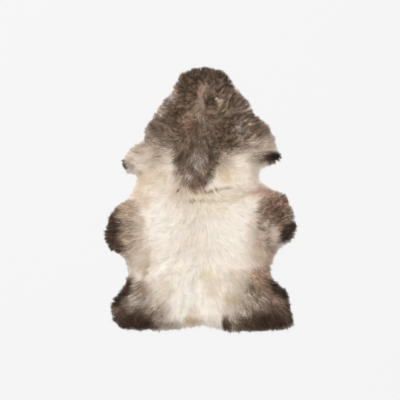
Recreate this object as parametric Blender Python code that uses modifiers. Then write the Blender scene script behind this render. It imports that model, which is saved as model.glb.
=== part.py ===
"""A natural sheepskin rug lying flat, wool side up.

One tanned hide with its own wool, trimmed to the animal's outline: neck, two
short foreleg tabs, two flank lobes, two hind-leg corners and a shallow notch at
the tail. The neck points to +Y, the wool to +Z, and the origin is on the flat
underside, at the middle of the outline's box.
"""

import math

import bpy
import numpy as np
from mathutils import Vector, geometry, noise

# ---------------------------------------------------------------- driving sizes
MM = 0.001
LENGTH = 958 * MM  # neck tip to rump, wool included
WIDTH = 694 * MM  # over the two flank lobes, wool included

RIM = 11 * MM  # height of the wool's edge, all round
EDGE_RUN = 62 * MM  # over which the wool rises from its edge to its full height
MOST_PILE = 60 * MM  # the sheet's thickness where the "pile" weight is 1

OUTLINE_STEP = 9 * MM  # between corners of the edge
INNER_STEP = 13.5 * MM  # between corners of the crown
TUFT_SPAN = 27 * MM  # length of one tuft along the edge
TUFT_REACH = 6 * MM  # how far a tuft stands in or out of the edge
LOCK_SPAN = 34 * MM  # across one lock of wool
LOCK_RUN = 85 * MM  # along one lock of wool
LOCK_RISE = 6.5 * MM  # height of a lock over the gap beside it

# Half-widths of the skin, in millimetres: "along" runs from the neck tip to the
# rump, "left" and "right" go out from the spine.
SECTIONS = (
    # region           along  left  right
    ("neck_tip", 14, 63, 80),
    ("neck_tip", 36, 77, 101),
    ("neck", 65, 97, 122),
    ("neck", 94, 108, 140),
    ("neck", 122, 136, 171),
    ("neck_base", 151, 159, 182),
    ("neck_base", 180, 171, 210),
    ("shoulder", 209, 197, 241),
    ("shoulder", 237, 204, 258),
    ("shoulder", 263, 210, 268),
    ("foreleg", 281, 239, 272),
    ("foreleg", 302, 261, 276),
    ("foreleg", 324, 275, 291),
    ("foreleg", 342, 289, 279),
    ("foreleg", 360, 282, 240),
    ("armpit", 378, 273, 213),
    ("waist", 396, 232, 209),
    ("waist", 417, 234, 219),
    ("waist", 439, 243, 252),
    ("flank", 457, 250, 303),
    ("flank", 475, 264, 310),
    ("flank", 497, 298, 321),
    ("flank", 522, 319, 335),
    ("flank", 550, 336, 337),
    ("flank", 579, 340, 345),
    ("flank", 608, 349, 338),
    ("flank", 637, 341, 315),
    ("flank", 662, 327, 278),
    ("rear_waist", 684, 289, 269),
    ("rear_waist", 705, 273, 255),
    ("rear_waist", 734, 263, 250),
    ("rear_waist", 763, 268, 259),
    ("hind_leg", 788, 278, 290),
    ("hind_leg", 813, 290, 311),
    ("hind_leg", 838, 317, 321),
    ("hind_leg", 867, 325, 323),
    ("hind_leg", 896, 325, 331),
    ("hind_leg", 920, 318, 332),
    ("hind_leg", 936, 303, 335),
)

# The edge across the rump, from the right hind leg to the left one.
RUMP_EDGE = (
    # place           across  along
    ("right_corner", 321, 943),
    ("right_corner", 290, 953),
    ("right_rump", 236, 957),
    ("right_rump", 164, 958),
    ("right_rump", 92, 960),
    ("tail_notch", 41, 946),
    ("tail_notch", -2, 937),
    ("tail_notch", -52, 948),
    ("left_rump", -103, 953),
    ("left_rump", -160, 954),
    ("left_rump", -218, 953),
    ("left_corner", -281, 949),
)

NECK_TIP = (20, 0)  # across, along

# Full height of the wool down the spine.
PILE = (
    # place      along  height
    ("neck_tip", 0, 29),
    ("neck", 110, 33),
    ("shoulder", 260, 37),
    ("withers", 380, 41),
    ("back", 540, 45),
    ("loin", 720, 45),
    ("rump", 880, 42),
    ("rump_end", 960, 38),
)

# Broad rises and falls of the wool: centre, half-axes and height, millimetres.
SWELLS = (
    # name                across along  half_x half_y rise
    ("left_neck_fold", -95, 150, 60, 110, 4.0),
    ("right_neck_fold", 85, 130, 70, 120, 4.5),
    ("withers_tongue", -30, 360, 70, 120, 5.0),
    ("left_shoulder", -150, 330, 90, 90, -3.5),
    ("right_shoulder", 150, 330, 90, 90, -2.5),
    ("left_back", -120, 560, 110, 150, 3.5),
    ("right_back", 130, 590, 110, 150, 4.0),
    ("left_flank_dip", -255, 560, 60, 130, -4.0),
    ("right_flank_dip", 245, 560, 60, 130, -4.0),
    ("left_rump", -150, 850, 110, 80, 4.0),
    ("right_rump", 160, 850, 120, 80, 4.5),
    ("tail", 0, 880, 60, 90, -3.0),
)

# Lines where the wool parts, as soft troughs.
PARTINGS = (
    # name                from_x from_along to_x to_along width depth
    ("neck_parting", 5, 75, -2, 195, 20, 5.0),
    ("withers_parting", -28, 462, 108, 440, 22, 8.0),
    ("side_parting", 40, 470, 215, 446, 20, 6.0),
    ("left_side_parting", -60, 455, -205, 415, 24, 4.5),
    ("back_parting", 5, 520, -8, 760, 30, 4.0),
    ("left_loin_parting", -70, 690, -215, 735, 24, 4.5),
    ("right_loin_parting", 60, 700, 205, 745, 24, 4.5),
    ("tail_parting", -4, 790, -2, 935, 26, 5.5),
)


# ------------------------------------------------------------------- the outline
def row_place(across, along):
    """Millimetres across and along the skin to metres in the rug's own frame."""
    return Vector((across * MM, LENGTH / 2 - along * MM))


def landmarks():
    """The outline's corners: down the right, across the rump and up the left."""
    right = [row_place(row[3], row[1]) for row in SECTIONS]
    left = [row_place(-row[2], row[1]) for row in reversed(SECTIONS)]
    rump = [row_place(across, along) for _, across, along in RUMP_EDGE]
    return [row_place(*NECK_TIP)] + right + rump + left


def smooth_loop(points, step):
    """A closed centripetal curve through the points, with corners about a step apart."""
    count = len(points)
    fine = []
    for i in range(count):
        p = [points[(i + k - 1) % count] for k in range(4)]
        t = [0.0]
        for k in range(3):
            t.append(t[-1] + math.sqrt((p[k + 1] - p[k]).length))
        for j in range(24):
            u = t[1] + (t[2] - t[1]) * j / 24
            a = [
                p[k] * ((t[k + 1] - u) / (t[k + 1] - t[k]))
                + p[k + 1] * ((u - t[k]) / (t[k + 1] - t[k]))
                for k in range(3)
            ]
            b = [
                a[k] * ((t[k + 2] - u) / (t[k + 2] - t[k]))
                + a[k + 1] * ((u - t[k]) / (t[k + 2] - t[k]))
                for k in range(2)
            ]
            fine.append(
                b[0] * ((t[2] - u) / (t[2] - t[1])) + b[1] * ((u - t[1]) / (t[2] - t[1]))
            )
    fine = np.array([(v.x, v.y) for v in fine])
    lengths = np.linalg.norm(np.roll(fine, -1, axis=0) - fine, axis=1)
    run = np.concatenate([[0.0], np.cumsum(lengths)])
    closed = np.vstack([fine, fine[:1]])
    corners = int(round(run[-1] / step))
    at = np.arange(corners) * run[-1] / corners
    return np.column_stack([np.interp(at, run, closed[:, k]) for k in range(2)])


def tufted(loop):
    """The loop with its tufts: small uneven waves in and out of the edge."""
    ahead = np.roll(loop, -1, axis=0) - np.roll(loop, 1, axis=0)
    out = np.column_stack([-ahead[:, 1], ahead[:, 0]])
    out /= np.linalg.norm(out, axis=1)[:, None]
    waves = []
    for x, y in loop:
        place = Vector((x, y, 0.0))
        wave = noise.noise(place / TUFT_SPAN) + 0.5 * noise.noise(place / TUFT_SPAN * 2.3)
        # The pelt's neck and legs end in longer, looser wool than its waists.
        calm = 0.6 if abs(y - 0.06) < 0.09 else 1.0
        waves.append(TUFT_REACH * calm * wave)
    return loop + out * np.array(waves)[:, None]


def boxed(loop):
    """The loop brought to the skin's length and width, about the middle of its box."""
    low, high = loop.min(axis=0), loop.max(axis=0)
    return (loop - (low + high) / 2) / (high - low) * np.array([WIDTH, LENGTH])


def edge_distance(points, loop):
    """How far each point is inside the loop, below zero outside it."""
    a, b = loop, np.roll(loop, -1, axis=0)
    ab = b - a
    gap = points[:, None, :] - a[None]
    t = np.clip((gap * ab).sum(-1) / (ab * ab).sum(-1), 0, 1)
    away = np.linalg.norm(gap - t[..., None] * ab, axis=-1).min(axis=1)
    x, y = points[:, 0:1], points[:, 1:2]
    above = (a[:, 1] > y) != (b[:, 1] > y)
    rise = np.where(ab[:, 1] == 0, 1e-12, ab[:, 1])
    cross = x < a[:, 0] + (y - a[:, 1]) * ab[:, 0] / rise
    inside = (above & cross).sum(axis=1) % 2 == 1
    return np.where(inside, away, -away)


def crown_points(loop):
    """Places inside the loop, in staggered rows."""
    rows = []
    height = INNER_STEP * math.sqrt(3) / 2
    for j in range(int(LENGTH / height) + 2):
        for i in range(int(WIDTH / INNER_STEP) + 2):
            rows.append(
                (
                    (i + 0.5 * (j % 2)) * INNER_STEP - WIDTH / 2,
                    j * height - LENGTH / 2,
                )
            )
    rows = np.array(rows)
    return rows[edge_distance(rows, loop) > 0.55 * INNER_STEP]


# -------------------------------------------------------------- height of the wool
def trough(x, along, row):
    """How deep a parting is here, in millimetres."""
    _, x0, a0, x1, a1, width, depth = row
    line = np.array([x1 - x0, a1 - a0], float)
    t = np.clip(((x - x0) * line[0] + (along - a0) * line[1]) / (line @ line), 0, 1)
    away = np.hypot(x - x0 - t * line[0], along - a0 - t * line[1])
    return depth * np.exp(-((away / width) ** 2))


def locks(points):
    """Uneven locks that lie out from the spine and towards the tail, -1 to 1."""
    heights = []
    for x, y in points:
        lean = 0.35 + 1.1 * max(0.0, -y) / LENGTH * 2
        across = (y + lean * abs(x)) / LOCK_SPAN
        along = abs(x) / LOCK_RUN
        side = 7.0 if x > 0 else 3.0
        heights.append(
            0.7 * noise.noise(Vector((across, along, side)))
            + 0.6 * noise.noise(Vector((x, y, 1.0)) / (0.8 * LOCK_SPAN))
        )
    return np.array(heights)


def wool_height(points, loop):
    """The height of the wool's crown over the flat underside."""
    x = points[:, 0] / MM
    along = (LENGTH / 2 - points[:, 1]) / MM
    full = np.interp(along, [row[1] for row in PILE], [row[2] for row in PILE])
    for _, cx, ca, half_x, half_y, rise in SWELLS:
        full = full + rise * np.exp(
            -(((x - cx) / half_x) ** 2) - ((along - ca) / half_y) ** 2
        )
    for row in PARTINGS:
        full = full - trough(x, along, row)
    full = full * MM + LOCK_RISE * locks(points)
    inside = np.clip(edge_distance(points, loop) / EDGE_RUN, 0, 1)
    round_edge = np.sqrt(1 - (1 - inside) ** 2)
    return RIM + (full - RIM) * round_edge


# --------------------------------------------------------------------- the object
def make_wool_material():
    material = bpy.data.materials.new("wool")
    material.use_nodes = True
    shader = material.node_tree.nodes["Principled BSDF"]
    shader.inputs["Base Color"].default_value = (0.72, 0.63, 0.52, 1.0)
    shader.inputs["Roughness"].default_value = 0.9
    shader.inputs["Metallic"].default_value = 0.0
    material.diffuse_color = (0.72, 0.63, 0.52, 1.0)
    return material


def make_sheepskin(collection):
    """A flat sheet cut to the outline, thickened upwards by the wool's height."""
    loop = boxed(tufted(smooth_loop(landmarks(), OUTLINE_STEP)))
    inner = crown_points(loop)
    corners = [Vector(p) for p in np.vstack([loop, inner])]
    verts, _, faces, *_ = geometry.delaunay_2d_cdt(
        corners, [], [list(range(len(loop)))], 1, 1e-6
    )
    mesh = bpy.data.meshes.new("sheepskin")
    mesh.from_pydata([(v.x, v.y, 0.0) for v in verts], [], faces)
    if sum(face.normal.z for face in mesh.polygons) < 0:
        mesh.flip_normals()
    mesh.materials.append(make_wool_material())
    sheepskin = bpy.data.objects.new("sheepskin", mesh)
    collection.objects.link(sheepskin)

    flat = np.array([(v.x, v.y) for v in verts])
    heights = wool_height(flat, loop)
    pile = sheepskin.vertex_groups.new(name="pile")
    for index, height in enumerate(heights):
        pile.add([index], float(height / MOST_PILE), "REPLACE")
    thicken = sheepskin.modifiers.new("wool", "SOLIDIFY")
    thicken.thickness = MOST_PILE
    thicken.offset = 1.0
    thicken.vertex_group = "pile"
    thicken.use_rim = True
    return sheepskin


def main():
    for old in list(bpy.data.objects):
        bpy.data.objects.remove(old, do_unlink=True)
    collection = bpy.data.collections.new("sheepskin_rug")
    bpy.context.scene.collection.children.link(collection)
    make_sheepskin(collection)


main()
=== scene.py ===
"""The looks of a natural sheepskin rug that lies flat, wool side up, seen from
straight above.

The rug is one tanned hide with its own wool. Here it is a thin suede sheet on
the floor, a dense mat of underwool on it, and the locks of wool themselves,
which are real geometry: tapered, bent staples that lie the way the wool is
combed, bunch into locks, and stand out past the hide as an uneven fringe.
"""

import math

import bpy
import numpy as np
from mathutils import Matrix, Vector
from mathutils.bvhtree import BVHTree


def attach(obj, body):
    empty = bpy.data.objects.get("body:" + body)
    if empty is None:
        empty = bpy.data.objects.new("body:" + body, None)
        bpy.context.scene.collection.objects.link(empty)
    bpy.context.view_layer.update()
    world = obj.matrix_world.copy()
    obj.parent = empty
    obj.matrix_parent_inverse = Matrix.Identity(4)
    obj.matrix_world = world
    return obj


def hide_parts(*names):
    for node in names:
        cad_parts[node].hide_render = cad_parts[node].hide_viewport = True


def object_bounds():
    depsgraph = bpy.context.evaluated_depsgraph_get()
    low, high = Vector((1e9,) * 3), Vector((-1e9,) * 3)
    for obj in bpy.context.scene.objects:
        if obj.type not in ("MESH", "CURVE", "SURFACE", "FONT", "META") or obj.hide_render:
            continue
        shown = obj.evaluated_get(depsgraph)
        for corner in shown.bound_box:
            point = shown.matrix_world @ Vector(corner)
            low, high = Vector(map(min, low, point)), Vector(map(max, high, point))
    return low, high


MM = 0.001
SEED = 20
rng = np.random.default_rng(SEED)

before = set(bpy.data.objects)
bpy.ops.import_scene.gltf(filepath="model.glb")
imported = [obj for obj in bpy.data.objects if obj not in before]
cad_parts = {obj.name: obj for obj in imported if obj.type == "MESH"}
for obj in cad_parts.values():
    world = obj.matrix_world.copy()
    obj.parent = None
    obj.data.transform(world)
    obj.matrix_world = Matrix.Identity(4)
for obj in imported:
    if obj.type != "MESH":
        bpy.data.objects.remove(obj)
cad_low, cad_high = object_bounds()
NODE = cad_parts["sheepskin"]
LENGTH = cad_high.y - cad_low.y

# ------------------------------------------------------------------------ sizes
HIDE_INSET = 15 * MM  # from the wool's edge to the hide's
HIDE_LOW, HIDE_HIGH = 0.3 * MM, 2.5 * MM
HIDE_CELL = 8 * MM
MAT_CELL = 6 * MM
MAT_RUN = 38 * MM  # over which the mat of underwool rises
BODY_SPACING = 11.6 * MM  # between locks
NECK_SPACING = 10.5 * MM
BODY_STAPLES, NECK_STAPLES = 18, 17  # in a lock
BODY_LONG, NECK_LONG = 43 * MM, 25 * MM
BODY_WIDE, NECK_WIDE = 1.5 * MM, 2.0 * MM
TUFT_STEP = 12.5 * MM  # between the tufts of the fringe
TUFT_STAPLES = 34
GUARD_HAIRS = 3200
RIPPLE_RISE = 1.6 * MM  # of a curl's crest over the middle of its side
RIPPLE_LEAN = 1.2 * MM  # the same for the way that it faces the light

# Way of the wool: "across" and "along" in millimetres, from the spine and from
# the neck tip; "turn" is the combed direction, 0 to the right and 90 to the neck.
COMB = (
    # place              across along turn reach
    ("neck_tip", 16, 22, 90, 50),
    ("neck_top_left", -49, 58, 128, 50),
    ("neck_top_right", 77, 65, 52, 50),
    ("neck_parting", 2, 137, -90, 32),
    ("neck_left", -106, 144, 155, 54),
    ("neck_left_inner", -52, 137, 140, 43),
    ("neck_right", 142, 144, 28, 58),
    ("neck_right_inner", 56, 137, 45, 36),
    ("left_shoulder", -167, 230, 172, 47),
    ("left_shoulder_low", -124, 284, 150, 43),
    ("right_shoulder", 207, 209, 20, 54),
    ("right_shoulder_low", 214, 277, 32, 43),
    ("centre", -9, 216, -92, 43),
    ("centre_right", 99, 245, 20, 47),
    ("withers", -16, 320, -90, 47),
    ("withers_left", -74, 367, -104, 40),
    ("withers_right", 38, 367, -62, 40),
    ("left_foreleg", -254, 331, 165, 40),
    ("right_foreleg", 250, 327, -3, 43),
    ("left_chest", -160, 381, 182, 50),
    ("left_waist", -225, 439, 192, 40),
    ("right_chest", 153, 389, -8, 50),
    ("under_withers", -20, 457, -66, 25),
    ("crease_right", 142, 453, 6, 43),
    ("crease_mid", 56, 453, 8, 29),
    ("left_flank", -311, 583, 180, 58),
    ("left_flank_inner", -218, 554, 182, 54),
    ("left_back", -121, 576, -164, 50),
    ("left_loin", -146, 684, -160, 47),
    ("spine_upper", -13, 525, -92, 43),
    ("spine", -23, 619, -100, 43),
    ("right_back", 85, 576, -52, 50),
    ("right_back_outer", 164, 612, -22, 47),
    ("right_flank_brown", 264, 511, 34, 47),
    ("right_flank_tip", 322, 590, -8, 36),
    ("right_rear_waist", 214, 705, -36, 43),
    ("left_rear_waist", -232, 720, -160, 40),
    ("loin_centre_right", 49, 705, -66, 47),
    ("loin_centre_left", -74, 705, -125, 47),
    ("rump_centre", -9, 828, -90, 43),
    ("tail", -16, 921, -90, 43),
    ("rump_right_inner", 85, 813, -62, 43),
    ("rump_right", 178, 806, -50, 47),
    ("rump_right_edge", 290, 828, -30, 40),
    ("rump_right_low", 221, 921, -74, 50),
    ("rump_right_corner", 315, 925, -55, 32),
    ("rump_left_inner", -95, 813, -120, 43),
    ("rump_left", -196, 806, -140, 43),
    ("rump_left_edge", -297, 820, -166, 40),
    ("rump_left_low", -196, 921, -118, 50),
    ("rump_left_corner", -304, 907, -148, 36),
    ("left_flank_inner_low", -207, 640, 188, 50),
    ("left_back_inner", -67, 561, -132, 40),
    ("left_loin_low", -124, 756, -138, 43),
    ("right_loin", 121, 727, -38, 43),
)

# Where the wool curls, from 0, combed straight, to 1, and how unruly its locks lie
# there. Below zero, a row calms the wool that the rows before it curled.
CURLS = (
    # place           across along half_x half_y curl unruly
    ("neck_tip", 15, 35, 95, 55, 1.0, 0.9),
    ("neck_left", -70, 110, 110, 95, 1.0, 0.85),
    ("neck_right", 95, 105, 115, 100, 0.95, 0.3),
    ("neck_parting", 1, 135, 17, 72, -0.8, -0.9),
    ("neck_dark_patch", 40, 130, 30, 30, 1.0, 0.9),
    ("left_shoulder", -120, 215, 90, 70, 0.4, 0.25),
    ("right_shoulder", 150, 205, 110, 80, 0.7, 0.3),
    ("centre", 80, 255, 80, 70, 1.0, 0.8),
    ("neck_low", -20, 210, 95, 75, 0.5, 0.6),
    ("withers", -10, 330, 80, 90, 0.3, 0.4),
    ("withers_right", 40, 335, 28, 70, 0.85, 0.6),
    ("right_flank", 272, 515, 75, 70, 0.75, 0.5),
    ("right_flank_low", 225, 610, 60, 60, 0.3, 0.3),
    ("right_hind", 185, 845, 130, 90, 0.15, 0.35),
    ("right_hind_low", 230, 915, 120, 50, 0.2, 0.2),
    ("left_hind", -240, 900, 110, 80, 0.2, 0.2),
)

# The animal's markings and the painted shade along the crease, painted one over the
# other: centre and half-axes in millimetres, turn in degrees, softness of the rim,
# strength, and sRGB colour.
CREAM = (241, 231, 221)
MARKINGS_AND_CREASE_SHADE = (
    # name           across along half_x half_y turn soft strength colour
    ("spine_shade", -16, 597, 79, 144, 0, 1.0, 0.55, (222, 211, 196)),
    ("left_back_light", -124, 583, 58, 101, 0, 1, 0.55, (247, 240, 231)),
    ("right_back_light", 74, 594, 76, 68, 0, 1, 0.6, (246, 240, 231)),
    ("left_chest", -167, 396, 72, 58, 0, 0.9, 0.8, (210, 194, 175)),
    ("left_loin_light", -139, 723, 61, 54, 0, 1, 0.45, (246, 238, 226)),
    ("left_loin_yellow", -88, 734, 25, 32, 0, 1, 0.4, (226, 212, 186)),
    ("tail_light", -38, 806, 104, 108, 0, 1, 0.7, (248, 242, 233)),
    ("right_chest", 142, 374, 108, 86, 0, 1, 0.5, (226, 211, 193)),
    ("right_chest_shade", 77, 309, 40, 32, 0, 0.8, 0.6, (128, 110, 96)),
    ("right_chest_shade_far", 139, 302, 36, 25, 0, 1, 0.5, (172, 154, 138)),
    ("right_chest_shade_low", 77, 356, 40, 36, 0, 0.8, 0.65, (166, 148, 129)),
    # Painted shade of the crease, tan, just below the withers.
    ("under_withers_crease_shadow", -49, 468, 76, 36, 0, 0.9, 0.65, (208, 191, 168)),
    ("left_chest_by_tongue", -70, 417, 29, 54, 0, 0.9, 0.72, (190, 171, 154)),
    ("crease_shade", 92, 468, 144, 25, 7, 0.9, 0.6, (211, 199, 179)),
    ("cream_yellow", 38, 511, 61, 29, 0, 1, 0.5, (224, 212, 188)),
    ("neck_top", 13, 79, 130, 122, 0, 0.25, 1, (101, 87, 78)),
    ("neck_middle", 13, 166, 201, 108, 0, 0.3, 1, (111, 97, 86)),
    ("shoulders", 31, 227, 252, 86, 0, 0.35, 1, (112, 98, 87)),
    ("withers_upper", -16, 302, 90, 79, 0, 0.3, 1, (108, 94, 84)),
    ("withers_tongue", -14, 367, 61, 83, 0, 0.3, 1, (108, 94, 84)),
    ("neck_dark_left", -45, 58, 47, 54, 0, 0.7, 0.7, (73, 60, 51)),
    ("neck_dark_speck_1", -20, 40, 11, 14, 0, 0.6, 0.7, (56, 43, 34)),
    ("neck_dark_speck_2", -16, 112, 14, 11, 0, 0.6, 0.6, (60, 47, 38)),
    ("neck_dark_tip", 5, 32, 83, 43, 0, 0.8, 0.8, (81, 69, 61)),
    ("neck_mauve_right", 70, 58, 50, 43, 0, 0.8, 0.5, (92, 80, 73)),
    ("neck_dark_patch", 36, 126, 27, 23, 0, 0.9, 0.7, (66, 54, 45)),
    ("neck_left_curls", -70, 151, 43, 50, 0, 0.8, 0.45, (87, 73, 62)),
    ("neck_left_spot", -95, 187, 22, 25, 0, 0.7, 0.7, (72, 59, 50)),
    ("neck_left_edge", -128, 130, 27, 54, -40, 0.8, 0.9, (170, 156, 145)),
    ("neck_right_curls", 88, 248, 43, 54, 0, 0.7, 0.65, (86, 72, 62)),
    ("withers_right_band", 32, 331, 22, 50, 0, 0.6, 0.7, (102, 87, 76)),
    ("withers_left_band", -67, 356, 32, 49, 0, 0.6, 0.62, (92, 78, 68)),
    ("withers_left_dark", -41, 309, 36, 25, 0, 0.8, 0.45, (86, 72, 62)),
    ("withers_tip", -16, 407, 36, 36, 0, 0.6, 0.8, (108, 93, 84)),
    ("neck_parting", 2, 130, 16, 61, 0, 0.7, 0.88, (180, 155, 138)),
    ("neck_parting_low", -9, 169, 29, 25, 0, 0.7, 0.75, (158, 137, 121)),
    ("neck_parting_top", 9, 86, 16, 25, 0, 0.7, 0.25, (128, 112, 100)),
    ("neck_white_tuft", 65, 124, 20, 9, -35, 0.5, 1, (226, 210, 184)),
    ("neck_beige_tuft", 76, 140, 9, 13, 0, 0.7, 0.6, (176, 157, 136)),
    ("ridge_light_1", 41, 68, 29, 6, 52, 0.6, 0.65, (142, 128, 118)),
    ("ridge_dark_1", 56, 43, 22, 7, 45, 0.6, 0.5, (74, 60, 51)),
    ("ridge_dark_2", 81, 99, 32, 6, 24, 0.6, 0.55, (70, 57, 48)),
    ("ridge_light_2", 85, 112, 36, 6, 24, 0.6, 0.65, (142, 128, 119)),
    ("ridge_dark_3", 103, 126, 32, 5, 24, 0.6, 0.5, (78, 64, 54)),
    ("ridge_light_3", 139, 137, 18, 7, 48, 0.6, 0.6, (149, 137, 127)),
    ("ridge_light_4", 128, 166, 32, 6, 8, 0.6, 0.5, (132, 119, 109)),
    ("neck_pink_spot", -95, 86, 11, 18, 0, 0.7, 0.7, (186, 156, 140)),
    ("left_shoulder_grey", -164, 245, 49, 56, 0, 0.7, 0.88, (97, 85, 79)),
    ("left_shoulder_edge", -196, 230, 13, 43, 0, 0.8, 0.7, (172, 158, 149)),
    ("neck_red_patch", 34, 166, 29, 18, 0, 0.8, 0.55, (122, 98, 85)),
    ("shoulder_red_patch", -38, 227, 36, 22, 0, 0.7, 0.7, (122, 96, 83)),
    ("left_olive_swirl", -103, 248, 32, 22, 0, 0.8, 0.35, (116, 102, 82)),
    ("neck_low_beige", -38, 191, 36, 16, 0, 0.8, 0.6, (142, 120, 104)),
    ("right_grey_curls", 142, 234, 29, 32, 0, 0.8, 0.6, (148, 138, 130)),
    ("right_shoulder", 200, 201, 65, 58, 0, 0.8, 0.6, (124, 109, 99)),
    ("right_shoulder_low", 207, 281, 65, 25, 0, 0.7, 0.8, (166, 149, 134)),
    ("right_shoulder_edge", 264, 277, 14, 25, 0, 0.7, 0.7, (205, 188, 178)),
    ("neck_right_rim_top", 135, 81, 54, 11, -52, 0.8, 0.75, (188, 173, 162)),
    ("neck_right_rim_low", 223, 189, 65, 11, -49, 0.8, 0.7, (176, 161, 151)),
    ("neck_right_edge", 175, 137, 18, 43, -42, 0.8, 0.6, (172, 158, 148)),
    ("neck_left_rim_low", -167, 176, 11, 29, -25, 0.8, 0.6, (168, 152, 142)),
    ("withers_grey_patch", -9, 349, 29, 36, 0, 0.8, 0.9, (164, 151, 142)),
    ("withers_mauve_edge", -52, 403, 22, 29, 0, 0.7, 0.7, (160, 142, 133)),
    ("withers_red_tip", -16, 446, 23, 13, 0, 0.8, 0.6, (156, 124, 105)),
    ("left_chest_fade", -175, 306, 72, 50, 0, 0.8, 0.8, (152, 136, 122)),
    ("left_chest_tan", -185, 327, 22, 32, 0, 0.9, 0.5, (206, 182, 156)),
    ("dark_fleck", -77, 447, 5, 4, -30, 0.4, 0.85, (86, 72, 60)),
    ("left_foreleg", -239, 331, 61, 61, 0, 0.4, 0.9, (208, 193, 181)),
    ("left_foreleg_pale", -225, 371, 32, 22, 0, 0.8, 0.6, (226, 216, 208)),
    ("left_foreleg_spot", -250, 353, 13, 18, 0, 0.8, 0.55, (148, 132, 120)),
    ("left_foreleg_top", -221, 302, 25, 22, 0, 0.9, 0.6, (172, 155, 140)),
    ("left_foreleg_tip", -276, 354, 11, 22, 25, 0.3, 1, (40, 32, 27)),
    ("left_waist_peach", -207, 407, 22, 32, 0, 0.8, 0.7, (218, 193, 164)),
    ("left_waist", -228, 453, 32, 32, 0, 0.9, 0.6, (224, 204, 186)),
    ("left_waist_low", -207, 486, 32, 25, 0, 0.9, 0.7, (206, 184, 166)),
    ("gold_stain", 88, 396, 32, 25, 0, 0.9, 0.55, (218, 198, 166)),
    ("right_waist_peach", 185, 367, 32, 14, 0, 0.9, 0.5, (230, 212, 192)),
    ("right_foreleg_grade", 214, 331, 43, 25, 0, 0.8, 0.75, (132, 116, 102)),
    ("right_foreleg_dark", 255, 333, 32, 22, -15, 1, 1, (60, 49, 42)),
    ("right_foreleg_tip", 272, 327, 20, 13, 0, 0.6, 0.85, (36, 28, 23)),
    # Painted shade along the crease: the furrow's dark line and the shade just below it.
    ("crease_shadow_left", 38, 449, 32, 5, 13, 0.7, 0.8, (126, 106, 88)),
    ("crease_shadow_right", 85, 441, 36, 5, 0, 0.8, 0.55, (166, 152, 130)),
    ("crease_shadow_low", 27, 484, 58, 5, 0, 0.8, 0.6, (178, 164, 138)),
    ("crease_shadow_spot", -29, 486, 11, 5, 15, 0.5, 0.8, (140, 124, 104)),
    ("crease_yellow", 124, 476, 22, 8, 15, 0.8, 0.5, (206, 196, 158)),
    ("crease_yellow_right", 171, 459, 47, 6, 14, 0.7, 0.45, (190, 176, 148)),
    ("left_flank_taupe", -290, 586, 94, 115, 0, 0.16, 0.9, (196, 180, 163)),
    ("left_flank_top", -275, 507, 50, 32, 0, 0.7, 0.8, (166, 144, 127)),
    ("left_flank_mid", -275, 597, 47, 83, 0, 0.6, 0.85, (148, 132, 118)),
    ("left_flank_cuff", -347, 594, 58, 94, 0, 0.35, 1, (62, 49, 42)),
    ("left_flank_cuff_end", -300, 651, 36, 32, 0, 0.7, 0.95, (74, 60, 51)),
    ("left_flank_cuff_top", -315, 522, 22, 22, 0, 0.8, 0.8, (86, 70, 60)),
    ("left_rear_waist", -225, 687, 58, 65, 0, 0.8, 0.75, (194, 176, 158)),
    ("right_flank_brown", 269, 520, 65, 72, 0, 0.35, 0.95, (152, 128, 113)),
    ("right_flank_curls", 268, 529, 47, 43, 0, 0.7, 0.85, (98, 80, 70)),
    ("right_flank_mid", 250, 565, 36, 36, 0, 0.8, 0.85, (92, 76, 67)),
    ("right_flank_pink", 318, 500, 18, 43, 0, 0.8, 0.6, (188, 162, 152)),
    ("right_flank_red_top", 228, 450, 47, 23, 0, 0.8, 0.7, (182, 149, 133)),
    ("right_flank_spot", 297, 459, 11, 6, 0, 0.6, 0.8, (98, 86, 72)),
    ("right_flank_taupe", 228, 604, 50, 76, 0, 0.8, 0.75, (174, 155, 138)),
    ("right_flank_black", 315, 594, 47, 27, 46, 0.6, 1, (60, 48, 41)),
    ("right_flank_low", 250, 651, 32, 29, 0, 0.8, 0.5, (154, 136, 122)),
    ("right_flank_pink_band", 264, 608, 16, 40, 0, 0.8, 0.85, (216, 198, 188)),
    ("right_flank_grey", 311, 550, 22, 14, 0, 0.8, 0.6, (120, 106, 98)),
    ("right_rear_waist", 221, 676, 54, 58, 0, 0.8, 0.72, (190, 168, 148)),
    ("right_waist_pink", 254, 720, 18, 40, 0, 0.8, 0.7, (202, 172, 158)),
    ("left_rump_fade", -203, 853, 65, 72, 0, 0.8, 0.8, (174, 158, 143)),
    ("left_rump_wisps", -124, 795, 32, 43, 0, 1, 0.5, (206, 190, 170)),
    ("right_loin_wisps", 45, 792, 32, 43, 0, 1, 0.5, (206, 188, 164)),
    ("left_rump_brown", -218, 802, 32, 29, 0, 0.8, 0.75, (140, 120, 104)),
    ("left_rump_streak", -196, 738, 40, 9, 74, 0.8, 0.45, (160, 138, 120)),
    ("left_hind_corner", -297, 849, 50, 61, -15, 0.5, 1, (92, 78, 70)),
    ("left_hind_edge", -282, 810, 29, 61, -33, 0.5, 1, (60, 48, 42)),
    ("left_hind_black", -304, 835, 29, 22, 20, 0.6, 0.9, (46, 36, 30)),
    ("left_hind_grey", -228, 844, 47, 23, 8, 0.7, 1, (168, 158, 148)),
    ("left_hind_mid", -218, 882, 58, 22, 0, 0.8, 0.8, (104, 91, 81)),
    ("left_hind_dark", -236, 923, 101, 41, 0, 0.75, 1, (60, 48, 41)),
    ("left_hind_mauve", -300, 882, 32, 20, 0, 0.7, 0.5, (108, 93, 85)),
    ("left_rump_low", -146, 882, 40, 36, 0, 0.9, 0.72, (150, 136, 124)),
    ("left_rump_tail", -103, 932, 40, 22, 0, 0.9, 0.7, (168, 153, 139)),
    ("tail_light_left", -67, 874, 36, 50, 0, 1, 0.6, (245, 238, 228)),
    ("tail_gold", -27, 914, 36, 20, 0, 0.8, 0.8, (202, 178, 146)),
    ("tail_gold_top", -16, 874, 29, 18, 0, 1, 0.5, (208, 194, 176)),
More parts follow.
